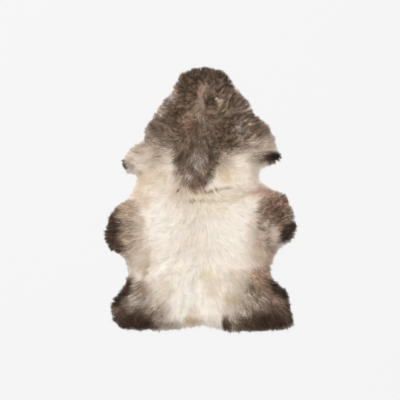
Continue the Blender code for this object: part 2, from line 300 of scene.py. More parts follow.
    ("yellow_stain", 20, 748, 22, 16, 0, 1, 0.6, (222, 208, 164)),
    ("right_rump_fade", 189, 835, 74, 76, 0, 0.85, 0.75, (173, 156, 139)),
    ("right_rump_top", 149, 759, 68, 32, 0, 0.9, 0.42, (188, 168, 146)),
    ("right_rump_low_fade", 117, 874, 47, 29, 0, 0.9, 0.38, (168, 150, 132)),
    ("right_rump_brown", 218, 795, 50, 47, 0, 0.85, 0.85, (112, 95, 81)),
    ("right_rump_stain", 106, 831, 25, 25, 0, 1, 0.5, (186, 164, 126)),
    ("right_waist_brown", 214, 748, 40, 29, 0, 0.8, 0.75, (140, 115, 100)),
    ("right_hind_corner", 282, 838, 58, 54, 0, 0.5, 1, (116, 100, 91)),
    ("right_hind_edge", 286, 801, 54, 22, -41, 0.5, 1, (58, 47, 41)),
    ("right_hind_edge_low", 322, 864, 14, 50, 0, 0.6, 0.9, (76, 64, 56)),
    ("right_hind_dark", 243, 917, 101, 49, 0, 0.8, 1, (60, 48, 41)),
    ("right_hind_dark_left", 164, 932, 50, 29, 0, 0.7, 0.85, (76, 63, 54)),
    ("right_hind_wisps", 113, 928, 29, 29, 0, 0.8, 0.7, (122, 107, 95)),
    ("right_hind_streak", 90, 925, 16, 32, 0, 0.6, 0.9, (74, 61, 52)),
    ("tail_light_right", 23, 892, 29, 43, 0, 1, 0.5, (245, 238, 228)),
)


# ------------------------------------------------------------------ small helpers
def smooth(low, high, x):
    t = np.clip((x - low) / (high - low), 0, 1)
    return t * t * (3 - 2 * t)


def linear(srgb):
    c = np.asarray(srgb, float) / 255
    return np.where(c <= 0.04045, c / 12.92, ((c + 0.055) / 1.055) ** 2.4)


def turned(vectors, angle):
    """2-D vectors turned anticlockwise by an angle each, in radians."""
    c, s = np.cos(angle), np.sin(angle)
    return np.stack(
        [vectors[..., 0] * c - vectors[..., 1] * s, vectors[..., 0] * s + vectors[..., 1] * c],
        axis=-1,
    )


def waves(points, span, seed):
    """Smooth random values, about -1 to 1, one bump a span."""
    table = np.random.default_rng(seed).uniform(-1, 1, (97, 97))
    g = points / span + 40.37
    i = np.floor(g).astype(int)
    f = g - i
    f = f * f * f * (f * (f * 6 - 15) + 10)
    x0, y0 = i[..., 0] % 97, i[..., 1] % 97
    x1, y1 = (x0 + 1) % 97, (y0 + 1) % 97
    low = table[y0, x0] * (1 - f[..., 0]) + table[y0, x1] * f[..., 0]
    high = table[y1, x0] * (1 - f[..., 0]) + table[y1, x1] * f[..., 0]
    return low * (1 - f[..., 1]) + high * f[..., 1]


def rug(points):
    """Places in metres as millimetres across from the spine and along from the neck tip."""
    return points[..., 0] / MM, (LENGTH / 2 - points[..., 1]) / MM


# --------------------------------------------------- the form, read from the frame
def frame_mesh():
    me = NODE.data
    me.calc_loop_triangles()
    v = np.empty(len(me.vertices) * 3)
    me.vertices.foreach_get("co", v)
    t = np.empty(len(me.loop_triangles) * 3, np.int32)
    me.loop_triangles.foreach_get("vertices", t)
    v, t = v.reshape(-1, 3), t.reshape(-1, 3)
    _, first, index = np.unique(
        np.round(v / 1e-5).astype(np.int64), axis=0, return_index=True, return_inverse=True
    )
    return v[first], index.reshape(-1)[t]


def outline(v, t):
    """The rim of the flat underside, anticlockwise as seen from above."""
    p = v[t]
    n = np.cross(p[:, 1] - p[:, 0], p[:, 2] - p[:, 0])
    n /= np.linalg.norm(n, axis=1)[:, None] + 1e-20
    flat = t[(n[:, 2] < -0.9) & (p[:, :, 2].max(axis=1) < 1e-4)]
    directed = np.concatenate([flat[:, [1, 0]], flat[:, [2, 1]], flat[:, [0, 2]]])
    _, index, count = np.unique(np.sort(directed, axis=1), axis=0, return_inverse=True, return_counts=True)
    after = dict(directed[count[index.reshape(-1)] == 1].tolist())
    loops = []
    while after:
        start, at = after.popitem()
        loop = [start]
        while at != start:
            loop.append(at)
            at = after.pop(at)
        loops.append(loop)
    return v[max(loops, key=len), :2]


class Map:
    """A value on a grid over the rug, read between its points."""

    def __init__(self, low, step, values):
        self.low, self.step, self.values = low, step, values

    def __call__(self, p):
        g = (p - self.low) / self.step
        ny, nx = self.values.shape[:2]
        x = np.clip(g[..., 0], 0, nx - 1.001)
        y = np.clip(g[..., 1], 0, ny - 1.001)
        i, j = x.astype(int), y.astype(int)
        fx, fy = x - i, y - j
        v = self.values
        return (v[j, i] * (1 - fx) + v[j, i + 1] * fx) * (1 - fy) + (
            v[j + 1, i] * (1 - fx) + v[j + 1, i + 1] * fx
        ) * fy


def distance_map(a, b, low, nx, ny, step):
    """Distance inside the rug's edge, below zero outside it."""
    out = np.empty(nx * ny)
    gx, gy = np.meshgrid(low[0] + np.arange(nx) * step, low[1] + np.arange(ny) * step)
    places = np.column_stack([gx.ravel(), gy.ravel()])
    ab = b - a
    size = (ab * ab).sum(-1)
    rise = np.where(ab[:, 1] == 0, 1e-12, ab[:, 1])
    for k in range(0, len(places), 6000):
        q = places[k : k + 6000]
        gap = q[:, None, :] - a[None]
        s = np.clip((gap * ab).sum(-1) / size, 0, 1)
        away = np.linalg.norm(gap - s[..., None] * ab, axis=-1).min(axis=1)
        above = (a[:, 1] > q[:, 1:2]) != (b[:, 1] > q[:, 1:2])
        cross = q[:, 0:1] < a[:, 0] + (q[:, 1:2] - a[:, 1]) * ab[:, 0] / rise
        out[k : k + 6000] = np.where((above & cross).sum(axis=1) % 2 == 1, away, -away)
    return out.reshape(ny, nx), places


def blurred(values, times):
    for _ in range(times):
        p = np.pad(values, 1, mode="edge")
        values = (
            p[1:-1, 1:-1] * 4 + (p[:-2, 1:-1] + p[2:, 1:-1] + p[1:-1, :-2] + p[1:-1, 2:]) * 2
            + p[:-2, :-2] + p[2:, :-2] + p[:-2, 2:] + p[2:, 2:]
        ) / 16
    return values


VERTS, TRIS = frame_mesh()
RIM = outline(VERTS, TRIS)
SEG_A, SEG_B = RIM, np.roll(RIM, -1, axis=0)
RIM_AT = np.concatenate([[0], np.cumsum(np.linalg.norm(SEG_B - SEG_A, axis=1))])
GRID = 3 * MM
STREAK_CELL = 1.5 * MM
MAP_LOW = np.array([cad_low.x - 0.036, cad_low.y - 0.036])
NX = int((cad_high.x - cad_low.x + 0.072) / GRID) + 2
NY = int((cad_high.y - cad_low.y + 0.072) / GRID) + 2
_inside, _places = distance_map(SEG_A, SEG_B, MAP_LOW, NX, NY, GRID)
inside = Map(MAP_LOW, GRID, _inside)  # metres inside the wool's edge
_soft = blurred(_inside, 6)
slope_x = Map(MAP_LOW, GRID, np.gradient(_soft, GRID, axis=1))
slope_y = Map(MAP_LOW, GRID, np.gradient(_soft, GRID, axis=0))

_tree = BVHTree.FromPolygons([Vector(p) for p in VERTS], TRIS.tolist())
_top = np.full(len(_places), 6.5 * MM)
for _k in np.flatnonzero(_inside.ravel() > 0.5 * MM):
    _hit = _tree.ray_cast(Vector((*_places[_k], 0.3)), Vector((0, 0, -1)))[0]
    if _hit is not None:
        _top[_k] = _hit.z
crown = Map(MAP_LOW, GRID, _top.reshape(NY, NX))  # height of the wool


def outward(p):
    """Unit vectors towards the nearest stretch of the rug's edge."""
    n = -np.stack([slope_x(p), slope_y(p)], axis=-1)
    return n / (np.linalg.norm(n, axis=-1, keepdims=True) + 1e-9)


def rim_point(s):
    """The point a length s round the rug's edge."""
    s = np.mod(s, RIM_AT[-1])
    closed = np.vstack([RIM, RIM[:1]])
    return np.stack([np.interp(s, RIM_AT, closed[:, 0]), np.interp(s, RIM_AT, closed[:, 1])], axis=-1)


_wide = blurred(crown.values, 10)
tilt_x = Map(MAP_LOW, GRID, np.gradient(_wide, GRID, axis=1))
tilt_y = Map(MAP_LOW, GRID, np.gradient(_wide, GRID, axis=0))


def facing(p):
    """Which way the crown of the wool faces at each place."""
    n = np.stack([-tilt_x(p), -tilt_y(p), np.ones(p.shape[:-1])], axis=-1)
    return n / np.linalg.norm(n, axis=-1, keepdims=True)


def mat_height(p):
    """Top of the underwool: a dense mat that rises from the hide's edge."""
    run = np.clip((inside(p) - HIDE_INSET) / MAT_RUN, 0, 1)
    lumps = 1.6 * MM * waves(p, 11 * MM, 4) + 0.8 * MM * waves(p, 5.5 * MM, 5)
    full = crown(p) * (0.87 - 0.22 * curliness(p)) + lumps * smooth(0, 0.3, run)
    low = 5.0 * MM
    return low + (full - low) * np.sqrt(1 - (1 - run) ** 2)


def combed(p):
    """Unit vectors along the way the wool lies."""
    across, along = rug(p)
    total = np.zeros(p.shape)
    for _, cx, ca, turn, reach in COMB:
        w = np.exp(-((across - cx) ** 2 + (along - ca) ** 2) / (1.7 * reach) ** 2) + 1e-6 / (
            1 + ((across - cx) ** 2 + (along - ca) ** 2) / reach**2
        ) ** 2
        angle = math.radians(turn)
        total += w[..., None] * np.array([math.cos(angle), math.sin(angle)])
    return total / (np.linalg.norm(total, axis=-1, keepdims=True) + 1e-12)


def curliness(p, column=5):
    across, along = rug(p)
    straight = np.ones(across.shape)
    for row in CURLS:
        r = np.hypot((across - row[1]) / row[3], (along - row[2]) / row[4])
        share = row[column] * (1 - smooth(0.5, 1.2, r))
        straight = np.where(share > 0, straight * (1 - share), straight - (1 - straight) * share)
    return 1 - straight


def unruliness(p):
    return curliness(p, 6)


def streaks(span, reach, seed):
    """Smooth random values drawn out into streaks along the way the wool lies, with a spread of 1."""
    nx = int((NX - 1) * GRID / STREAK_CELL)
    ny = int((NY - 1) * GRID / STREAK_CELL)
    gx, gy = np.meshgrid(MAP_LOW[0] + np.arange(nx) * STREAK_CELL, MAP_LOW[1] + np.arange(ny) * STREAK_CELL)
    start = np.stack([gx, gy], axis=-1)
    total = waves(start, span, seed)
    for side in (-1, 1):
        at = start
        for _ in range(5):
            at = at + lay(at) * (side * reach / 5)
            total = total + waves(at, span, seed)
    return start, (total - total.mean()) / total.std()


def lay(p):
    """The way the wool really lies: combed, with its own swirls."""
    way = np.stack([lie_x(p), lie_y(p)], axis=-1)
    return way / (np.linalg.norm(way, axis=-1, keepdims=True) + 1e-9)


_wild = unruliness(_places)
_swirl = np.radians(21 + 24 * _wild) * waves(_places, 52 * MM, 71)
_swirl += np.radians(15 + 48 * _wild) * waves(_places, 17 * MM, 72)
_lie = turned(combed(_places), _swirl).reshape(NY, NX, 2)
lie_x, lie_y = Map(MAP_LOW, GRID, _lie[..., 0]), Map(MAP_LOW, GRID, _lie[..., 1])
_at, _long = streaks(4.2 * MM, 17 * MM, 61)
strands = Map(MAP_LOW, STREAK_CELL, _long)  # long fine strands in the combed wool
_at, _short = streaks(4.9 * MM, 11 * MM, 62)
_loose = waves(_at, 7.2 * MM, 63) + 0.5 * waves(_at, 4.4 * MM, 64)
_wild = 0.5 * smooth(0.3, 0.8, unruliness(_at))
_ripple = np.tanh(1.1 * (_short * (1 - _wild) + _loose / _loose.std() * _wild))
ripple = Map(MAP_LOW, STREAK_CELL, _ripple)  # crests and hollows of the curls
ripple_x = Map(MAP_LOW, STREAK_CELL, np.gradient(_ripple, STREAK_CELL, axis=1))
ripple_y = Map(MAP_LOW, STREAK_CELL, np.gradient(_ripple, STREAK_CELL, axis=0))


def marking_and_crease_shade(p):
    """The wool's own colour at each place, with the painted shade along the crease, in linear light."""
    across, along = rug(p)
    # Every marking's rim is ragged, because it is drawn by hairs.
    across = across + 5.5 * waves(p, 17 * MM, 11) + 3.0 * waves(p, 7 * MM, 12)
    along = along + 5.5 * waves(p, 17 * MM, 13) + 3.0 * waves(p, 7 * MM, 14)
    colour = np.broadcast_to(np.asarray(CREAM, float), (*across.shape, 3)).copy()
    for _, cx, ca, half_x, half_y, turn, soft, strength, paint in MARKINGS_AND_CREASE_SHADE:
        c, s = math.cos(math.radians(turn)), math.sin(math.radians(turn))
        dx, dy = across - cx, -(along - ca)
        r = np.hypot((dx * c + dy * s) / half_x, (-dx * s + dy * c) / half_y)
        share = strength * (1 - smooth(1 - 0.8 * soft, 1 + 0.7 * soft, r))
        colour += (np.asarray(paint, float) - colour) * share[..., None]
    return linear(colour)


# --------------------------------------------------------------------- mesh making
def mesh_object(name, verts, faces, smooth_faces=True):
    """faces: a list of integer arrays, each of one kind of polygon."""
    me = bpy.data.meshes.new(name)
    me.vertices.add(len(verts))
    me.vertices.foreach_set("co", np.ascontiguousarray(verts, np.float32).ravel())
    sizes = np.concatenate([np.full(len(f), f.shape[1], np.int32) for f in faces])
    corners = np.concatenate([f.ravel() for f in faces]).astype(np.int32)
    me.loops.add(len(corners))
    me.loops.foreach_set("vertex_index", corners)
    me.polygons.add(len(sizes))
    starts = np.concatenate([[0], np.cumsum(sizes)[:-1]]).astype(np.int32)
    me.polygons.foreach_set("loop_start", starts)
    me.update(calc_edges=True)
    me.validate(clean_customdata=False)
    if smooth_faces:
        me.polygons.foreach_set("use_smooth", np.ones(len(me.polygons), bool))
    obj = bpy.data.objects.new(name, me)
    bpy.context.scene.collection.objects.link(obj)
    return obj


def add_colour(obj, name, rgb):
    layer = obj.data.color_attributes.new(name, "FLOAT_COLOR", "POINT")
    rgba = np.ones((len(rgb), 4), np.float32)
    rgba[:, :3] = rgb
    layer.data.foreach_set("color", rgba.ravel())


def add_uv(obj, name, uv):
    """uv: one row a corner."""
    layer = obj.data.uv_layers.new(name=name)
    layer.data.foreach_set("uv", np.ascontiguousarray(uv, np.float32).ravel())


# ----------------------------------------------------------------------- materials
class Nodes:
    """Short ways of making and linking shader nodes."""

    def __init__(self, name):
        self.material = bpy.data.materials.new(name)
        self.material.use_nodes = True
        self.tree = self.material.node_tree
        self.shader = self.tree.nodes["Principled BSDF"]

    def add(self, kind, **values):
        node = self.tree.nodes.new(kind)
        for key, value in values.items():
            if key.startswith("_"):
                setattr(node, key[1:], value)
            else:
                node.inputs[key.replace("__", " ")].default_value = value
        return node

    def link(self, out, into):
        self.tree.links.new(out, into)

    def math(self, operation, a, b):
        node = self.tree.nodes.new("ShaderNodeMath")
        node.operation = operation
        for k, value in enumerate((a, b)):
            if isinstance(value, (int, float)):
                node.inputs[k].default_value = value
            else:
                self.link(value, node.inputs[k])
        return node.outputs[0]

    def tinted(self, colour, factor):
        """colour times a grey factor."""
        node = self.tree.nodes.new("ShaderNodeMix")
        node.data_type = "RGBA"
        node.blend_type = "MULTIPLY"
        node.inputs[0].default_value = 1.0
        self.link(colour, node.inputs[6])
        self.link(factor, node.inputs[7])
        return node.outputs[2]


def wool_material(name, contrast):
    """Hair by hair streaks along each lock, on the colour that its place has."""
    n = Nodes(name)
    colour = n.add("ShaderNodeAttribute", _attribute_name="wool_colour")
    place = n.add("ShaderNodeUVMap", _uv_map="Wool")
    streaks = n.add("ShaderNodeTexNoise", Scale=1.0, Detail=3.0, Roughness=0.6)
    spread = n.add("ShaderNodeMapping")
    spread.inputs["Scale"].default_value = (9.0, 0.8, 1.0)
    n.link(place.outputs[0], spread.inputs["Vector"])
    n.link(spread.outputs[0], streaks.inputs["Vector"])
    tone = n.add("ShaderNodeMapRange")
    tone.inputs["From Min"].default_value = 0.3
    tone.inputs["From Max"].default_value = 0.7
    tone.inputs["To Min"].default_value = 1.0 - contrast
    tone.inputs["To Max"].default_value = 1.0 + contrast
    n.link(streaks.outputs[0], tone.inputs["Value"])
    n.link(n.tinted(colour.outputs["Color"], tone.outputs[0]), n.shader.inputs["Base Color"])
    rough = n.add("ShaderNodeMapRange")
    rough.inputs["To Min"].default_value = 0.62
    rough.inputs["To Max"].default_value = 0.88
    n.link(streaks.outputs[0], rough.inputs["Value"])
    n.link(rough.outputs[0], n.shader.inputs["Roughness"])
    bump = n.add("ShaderNodeBump", Strength=0.5, Distance=0.0006)
    n.link(streaks.outputs[0], bump.inputs["Height"])
    n.link(bump.outputs[0], n.shader.inputs["Normal"])
    n.shader.inputs["Specular IOR Level"].default_value = 0.15
    n.shader.inputs["Sheen Weight"].default_value = 0.06
    n.shader.inputs["Sheen Roughness"].default_value = 0.5
    return n.material


def mat_material():
    """Dense crimped underwool."""
    n = Nodes("underwool")
    colour = n.add("ShaderNodeAttribute", _attribute_name="wool_colour")
    place = n.add("ShaderNodeTexCoord")
    crimp = n.add("ShaderNodeTexNoise", Scale=420.0, Detail=5.0, Roughness=0.7, Distortion=1.2)
    n.link(place.outputs["Object"], crimp.inputs["Vector"])
    tone = n.add("ShaderNodeMapRange")
    tone.inputs["From Min"].default_value = 0.3
    tone.inputs["From Max"].default_value = 0.7
    tone.inputs["To Min"].default_value = 0.62
    tone.inputs["To Max"].default_value = 1.12
    n.link(crimp.outputs[0], tone.inputs["Value"])
    n.link(n.tinted(colour.outputs["Color"], tone.outputs[0]), n.shader.inputs["Base Color"])
    bump = n.add("ShaderNodeBump", Strength=0.9, Distance=0.0015)
    n.link(crimp.outputs[0], bump.inputs["Height"])
    n.link(bump.outputs[0], n.shader.inputs["Normal"])
    n.shader.inputs["Roughness"].default_value = 0.9
    n.shader.inputs["Specular IOR Level"].default_value = 0.15
    n.shader.inputs["Sheen Weight"].default_value = 0.15
    return n.material


def suede_material():
    """The tanned flesh side: pale buff suede, mottled, with a short nap."""
    n = Nodes("suede")
    place = n.add("ShaderNodeTexCoord")
    mottle = n.add("ShaderNodeTexNoise", Scale=9.0, Detail=6.0, Roughness=0.62, Distortion=0.6)
    n.link(place.outputs["Object"], mottle.inputs["Vector"])
    ramp = n.add("ShaderNodeValToRGB")
    ramp.color_ramp.elements[0].position = 0.3
    ramp.color_ramp.elements[0].color = (*linear((196, 170, 138)), 1)
    ramp.color_ramp.elements[1].position = 0.72
    ramp.color_ramp.elements[1].color = (*linear((228, 209, 182)), 1)
    n.link(mottle.outputs[0], ramp.inputs[0])
    nap = n.add("ShaderNodeTexNoise", Scale=900.0, Detail=3.0, Roughness=0.6)
    n.link(place.outputs["Object"], nap.inputs["Vector"])
    grain = n.add("ShaderNodeTexVoronoi", Scale=160.0)
    n.link(place.outputs["Object"], grain.inputs["Vector"])
    tone = n.add("ShaderNodeMapRange")
    tone.inputs["From Min"].default_value = 0.3
    tone.inputs["From Max"].default_value = 0.7
    tone.inputs["To Min"].default_value = 0.86
    tone.inputs["To Max"].default_value = 1.06
    n.link(nap.outputs[0], tone.inputs["Value"])
    n.link(n.tinted(ramp.outputs[0], tone.outputs[0]), n.shader.inputs["Base Color"])
    height = n.math("ADD", nap.outputs[0], n.math("MULTIPLY", grain.outputs["Distance"], 0.6))
    bump = n.add("ShaderNodeBump", Strength=0.6, Distance=0.0004)
    n.link(height, bump.inputs["Height"])
    n.link(bump.outputs[0], n.shader.inputs["Normal"])
    n.shader.inputs["Roughness"].default_value = 0.92
    n.shader.inputs["Specular IOR Level"].default_value = 0.2
    n.shader.inputs["Sheen Weight"].default_value = 0.25
    return n.material


def floor_material():
    n = Nodes("floor")
    place = n.add("ShaderNodeTexCoord")
    grain = n.add("ShaderNodeTexNoise", Scale=6.0, Detail=2.0)
    n.link(place.outputs["Object"], grain.inputs["Vector"])
    tone = n.add("ShaderNodeMapRange")
    tone.inputs["To Min"].default_value = 0.995
    tone.inputs["To Max"].default_value = 1.0
    n.link(grain.outputs[0], tone.inputs["Value"])
    n.shader.inputs["Base Color"].default_value = (FLOOR_TONE, FLOOR_TONE, FLOOR_TONE, 1)
    n.shader.inputs["Roughness"].default_value = 1.0
    n.shader.inputs["Specular IOR Level"].default_value = 0.0
    n.shader.inputs["Emission Color"].default_value = (1, 1, 1, 1)
    n.shader.inputs["Emission Strength"].default_value = FLOOR_GLOW
    return n.material


# -------------------------------------------------------------- flat cut and solids
def lattice(step, inset):
    """Quads of an even lattice over the rug, inside an inset edge, whose outer points are drawn to that edge."""
    nx = int((cad_high.x - cad_low.x) / step) + 3
    ny = int((cad_high.y - cad_low.y) / step) + 3
    gx, gy = np.meshgrid(cad_low.x - step + np.arange(nx) * step, cad_low.y - step + np.arange(ny) * step)
    p = np.column_stack([gx.ravel(), gy.ravel()])
    depth = inside(p) - inset
    i = np.arange(nx * ny).reshape(ny, nx)
    quads = np.stack([i[:-1, :-1], i[:-1, 1:], i[1:, 1:], i[1:, :-1]], axis=-1).reshape(-1, 4)
    near = depth > -0.45 * step
    quads = quads[near[quads].all(axis=1)]
    # Cells that hang on by a corner alone would pinch the sheet.
    for _ in range(6):
        ends = np.sort(
            np.concatenate([quads[:, [0, 1]], quads[:, [1, 2]], quads[:, [2, 3]], quads[:, [3, 0]]]), axis=1
        )
        pairs, where, count = np.unique(ends, axis=0, return_inverse=True, return_counts=True)
        rim = pairs[count == 1]
        corner, times = np.unique(rim, return_counts=True)
        pinched = corner[times > 2]
        if not len(pinched):
            break
        quads = quads[~np.isin(quads, pinched).any(axis=1)]
    corner = np.unique(rim)
    q = p.copy()
    for _ in range(3):
        move = inside(q[corner]) - inset
        q[corner] += outward(q[corner]) * move[:, None]
    used, index = np.unique(quads, return_inverse=True)
    lookup = np.full(nx * ny, -1)
    lookup[used] = np.arange(len(used))
    # The rim's edges, in the direction that their own quad runs.
    directed = np.concatenate([quads[:, [0, 1]], quads[:, [1, 2]], quads[:, [2, 3]], quads[:, [3, 0]]])
    key = np.sort(directed, axis=1)
    _, inverse, count = np.unique(key, axis=0, return_inverse=True, return_counts=True)
    rim = directed[count[inverse.reshape(-1)] == 1]
    return q[used], lookup[quads], lookup[rim]


def slab(name, step, inset, low, high):
    """A closed sheet between two heights, each a number or a function of place."""
    flat, quads, rim = lattice(step, inset)
    count = len(flat)
    bottom = np.column_stack([flat, np.broadcast_to(low(flat) if callable(low) else low, count)])
    top = np.column_stack([flat, np.broadcast_to(high(flat) if callable(high) else high, count)])
    verts = np.vstack([top, bottom])
    walls = np.column_stack([rim[:, 1], rim[:, 0], rim[:, 0] + count, rim[:, 1] + count])
    return mesh_object(name, verts, [quads, quads[:, ::-1] + count, walls]), flat, quads


# ---------------------------------------------------------------- the wool's staples
def lock_places(spacing, keep):
    """Centres of locks, in staggered rows with some scatter, where keep says so."""
    height = spacing * math.sqrt(3) / 2
    rows = int((cad_high.y - cad_low.y) / height) + 2
    columns = int((cad_high.x - cad_low.x) / spacing) + 2
    j, i = np.meshgrid(np.arange(rows), np.arange(columns), indexing="ij")
    p = np.stack([cad_low.x + (i + 0.5 * (j % 2)) * spacing, cad_low.y + j * height], axis=-1).reshape(-1, 2)
    p = p + rng.uniform(-0.36, 0.36, p.shape) * spacing
    p = p[inside(p) > HIDE_INSET + 1.5 * MM]
    return p[keep(p)]


def course(root, way, bend, long, stops):
    """Plan of a staple that leaves its root along way and turns by bend on its way."""
    points = [root]
    for k in range(len(stops) - 1):
        middle = (stops[k] + stops[k + 1]) / 2
        # Wool stands up at its root, so it goes less far there.
        step = (stops[k + 1] - stops[k]) * long * (0.62 + 0.36 * middle)
        points.append(points[-1] + turned(way, bend * (middle - 0.25)) * step[:, None])
    return np.stack(points, axis=1)


def locks(spacing, many, chosen, stops, long, wide, seed):
    """The staples of whole locks. They lie along the combed way and gather at the lock's tip."""
    centre = lock_places(spacing, chosen)
    count = len(centre)
    curl, unruly = curliness(centre), unruliness(centre)
    turn = rng.normal(0, 1, count) * np.radians(5 + 34 * unruly)
    turn += np.radians(3 + 12 * curl) * waves(centre, 30 * MM, seed + 2)
    bend = rng.normal(0, 1, count) * np.radians(12 + 36 * curl + 34 * unruly)
    bend += np.radians(8 + 26 * curl) * waves(centre, 40 * MM, seed + 3)
    length = long * rng.uniform(0.86, 1.12, count)
    tone, rise = rng.normal(0, 1, (2, count))
    pull = 0.10 + 0.66 * curl + rng.uniform(-0.1, 0.1, count)

    lock = np.repeat(np.arange(count), many)
    total = len(lock)
    r = np.sqrt(rng.uniform(0, 1, total))
    a = rng.uniform(0, 2 * math.pi, total)
    # Combed wool has hardly any locks left, so there their roots mix.
    offset = np.stack([np.cos(a), np.sin(a)], axis=-1) * (r * (1.0 - 0.38 * curl[lock]) * spacing)[:, None]
    root = centre[lock] + offset
    short = HIDE_INSET + 0.8 * MM - inside(root)
    root -= outward(root) * np.clip(short, 0, None)[:, None]
    curl, bend = curl[lock], bend[lock] + rng.normal(0, 1, total) * np.radians(9)
    way = turned(lay(root), turn[lock] + rng.normal(0, 1, total) * np.radians(5 + 11 * curl))
    length = length[lock] * rng.uniform(0.8, 1.1, total)

    # Near the edge the wool turns outwards and spills over it.
    depth = inside(root)
    turn_out = 0.8 * (1 - smooth(8 * MM, 42 * MM, depth)) + 0.1 * (1 - smooth(30 * MM, 90 * MM, depth))
    way = way * (1 - turn_out)[:, None] + outward(root) * turn_out[:, None]
    way /= np.linalg.norm(way, axis=1)[:, None] + 1e-9

    # It ends about where the rug does.
    reach = (2.4 * rng.uniform(-1, 1, total) - 1.2) * MM
    gather = (stops**0.85)[None, :, None] * (offset * pull[lock][:, None])[:, None, :]
    for _ in range(4):
        p = course(root, way, bend, length, stops) - gather
        at_root, at_tip = inside(p[:, 0]), inside(p[:, -1])
        share = (at_root + reach) / np.maximum(at_root - at_tip, 1e-5)
        length = np.clip(length * np.where(at_tip < -reach, np.clip(share, 0.3, 1), 1), 7 * MM, 62 * MM)
    p = course(root, way, bend, length, stops) - gather

    share = 1.0 - (0.01 + 0.22 * curl) * r**2 - rng.uniform(0, 0.04, total) * (1 + curl)
    share += (0.004 + 0.04 * curl) * rise[lock]
    z = np.empty(p.shape[:2])
    z[:, 0] = mat_height(root) - 3 * MM
    for k in range(1, len(stops)):
        climb = 1 - (1 - stops[k]) ** (2.4 + 0.4 * curl)
        crest = RIPPLE_RISE * ripple(p[:, k]) * curl
        z[:, k] = z[:, 0] + (crown(p[:, k]) * share + crest - z[:, 0]) * climb
    # Tips nestle into the next lock, and those of curls come over and down.
    z[:, -1] -= (1.2 * MM + 3.2 * MM * curl) * rng.uniform(0, 1, total)
    z[:, 1:] += rng.normal(0, 1, (total, len(stops) - 1)) * ((0.35 + 0.5 * curl) * MM)[:, None]
    return dict(
        points=np.concatenate([p, np.maximum(z, 1.2 * MM)[:, :, None]], axis=2),
        tone=(0.6 + 0.25 * curl) * tone[lock] + (0.78 - 0.25 * curl) * rng.normal(0, 1, total),
        curl=curl,
        wide=wide * rng.uniform(0.7, 1.3, total),
        order=centre[lock],
    )


def fringe(stops):
    """Tufts round the edge: staples from the hide's rim that gather outside it, in layers down to the floor."""
    count = int(RIM_AT[-1] / TUFT_STEP)
    at = (np.arange(count) + rng.uniform(-0.38, 0.38, count)) * RIM_AT[-1] / count
    base = rim_point(at)
    out = outward(base - outward(base) * 4 * MM)
    curl = curliness(base)
    way = lay(base) * (0.42 + 0.1 * curl)[:, None] + out
    way /= np.linalg.norm(way, axis=1)[:, None]
    way = turned(way, rng.normal(0, 1, count) * np.radians(9 + 10 * curl))
    reach = (7.0 * rng.uniform(0, 1, count) ** 1.8 * (1 - 0.55 * curl) - 1.4 + 0.6 * curl) * MM
    tone = rng.normal(0, 1, count)

    tuft = np.repeat(np.arange(count), TUFT_STAPLES)
    total = len(tuft)
    along = rng.uniform(-0.62, 0.62, total) * TUFT_STEP
    rim = rim_point(at[tuft] + along)
    depth = HIDE_INSET + (0.5 + 15 * rng.uniform(0, 1, total) ** 1.4) * MM
    root = rim - outward(rim) * depth[:, None]
    for _ in range(2):
        root = root + outward(root) * (inside(root) - depth)[:, None]
    gather = (rng.uniform(0.15, 0.75, total) * (1 - 0.6 * curl[tuft]))[:, None]
    back = np.abs(rng.normal(0, 1, total)) * 4.2 * MM - 2.0 * MM
    tip = base[tuft] * gather + rim * (1 - gather) + way[tuft] * (reach[tuft] - back)[:, None]
    side = np.stack([-way[tuft][:, 1], way[tuft][:, 0]], axis=-1)
    bow = side * (rng.normal(0, 1, total) * (1.1 + 1.6 * curl[tuft]) * MM)[:, None]
    layer = rng.uniform(0, 1, total)
    high = mat_height(root)
    low_z = HIDE_HIGH + (high - HIDE_HIGH) * (0.15 + 0.85 * layer)
    tip_z = (1.4 + 8.5 * layer) * MM
    points = np.empty((total, len(stops), 3))
    for k, s in enumerate(stops):
        points[:, k, :2] = root + (tip - root) * s + bow * (4 * s * (1 - s))
        points[:, k, 2] = low_z + (tip_z - low_z) * s**1.35 + 3.0 * MM * layer * 4 * s * (1 - s)
    return dict(
        points=points,
        tone=0.62 * tone[tuft] + 0.78 * rng.normal(0, 1, total),
        curl=curl[tuft],
        wide=(0.5 + 0.7 * rng.uniform(0, 1, total)) * (1 + 0.35 * curl[tuft]) * MM,
        order=base[tuft],
    )


def guard_hairs(stops):
    """Single coarse hairs that stand a little off the combed wool."""
    p = rng.uniform([cad_low.x, cad_low.y], [cad_high.x, cad_high.y], (GUARD_HAIRS * 2, 2))
    p = p[inside(p) > HIDE_INSET + 4 * MM][:GUARD_HAIRS]
    total = len(p)
    curl = curliness(p)
    way = turned(lay(p), rng.normal(0, 1, total) * np.radians(30 + 30 * curl))
    long = rng.uniform(18, 36, total) * MM * (1 - 0.3 * curl)
    plan = course(p, way, rng.normal(0, 1, total) * np.radians(45), long, stops)
    over = inside(plan[:, -1]) < -2 * MM
    plan, p, curl = plan[~over], p[~over], curl[~over]
    total = len(p)
    z = np.empty(plan.shape[:2])
    for k in range(len(stops)):
        z[:, k] = crown(plan[:, k]) * (0.93 + 0.10 * stops[k]) - (2.5 - 4.0 * stops[k]) * MM
    z[:, -1] += rng.uniform(-1, 2, total) * MM
    return dict(
        points=np.concatenate([plan, np.maximum(z, 1.2 * MM)[:, :, None]], axis=2),
        tone=1.25 * rng.normal(0, 1, total),
        curl=curl,
        wide=rng.uniform(0.55, 0.85, total) * MM,
        order=p,
    )


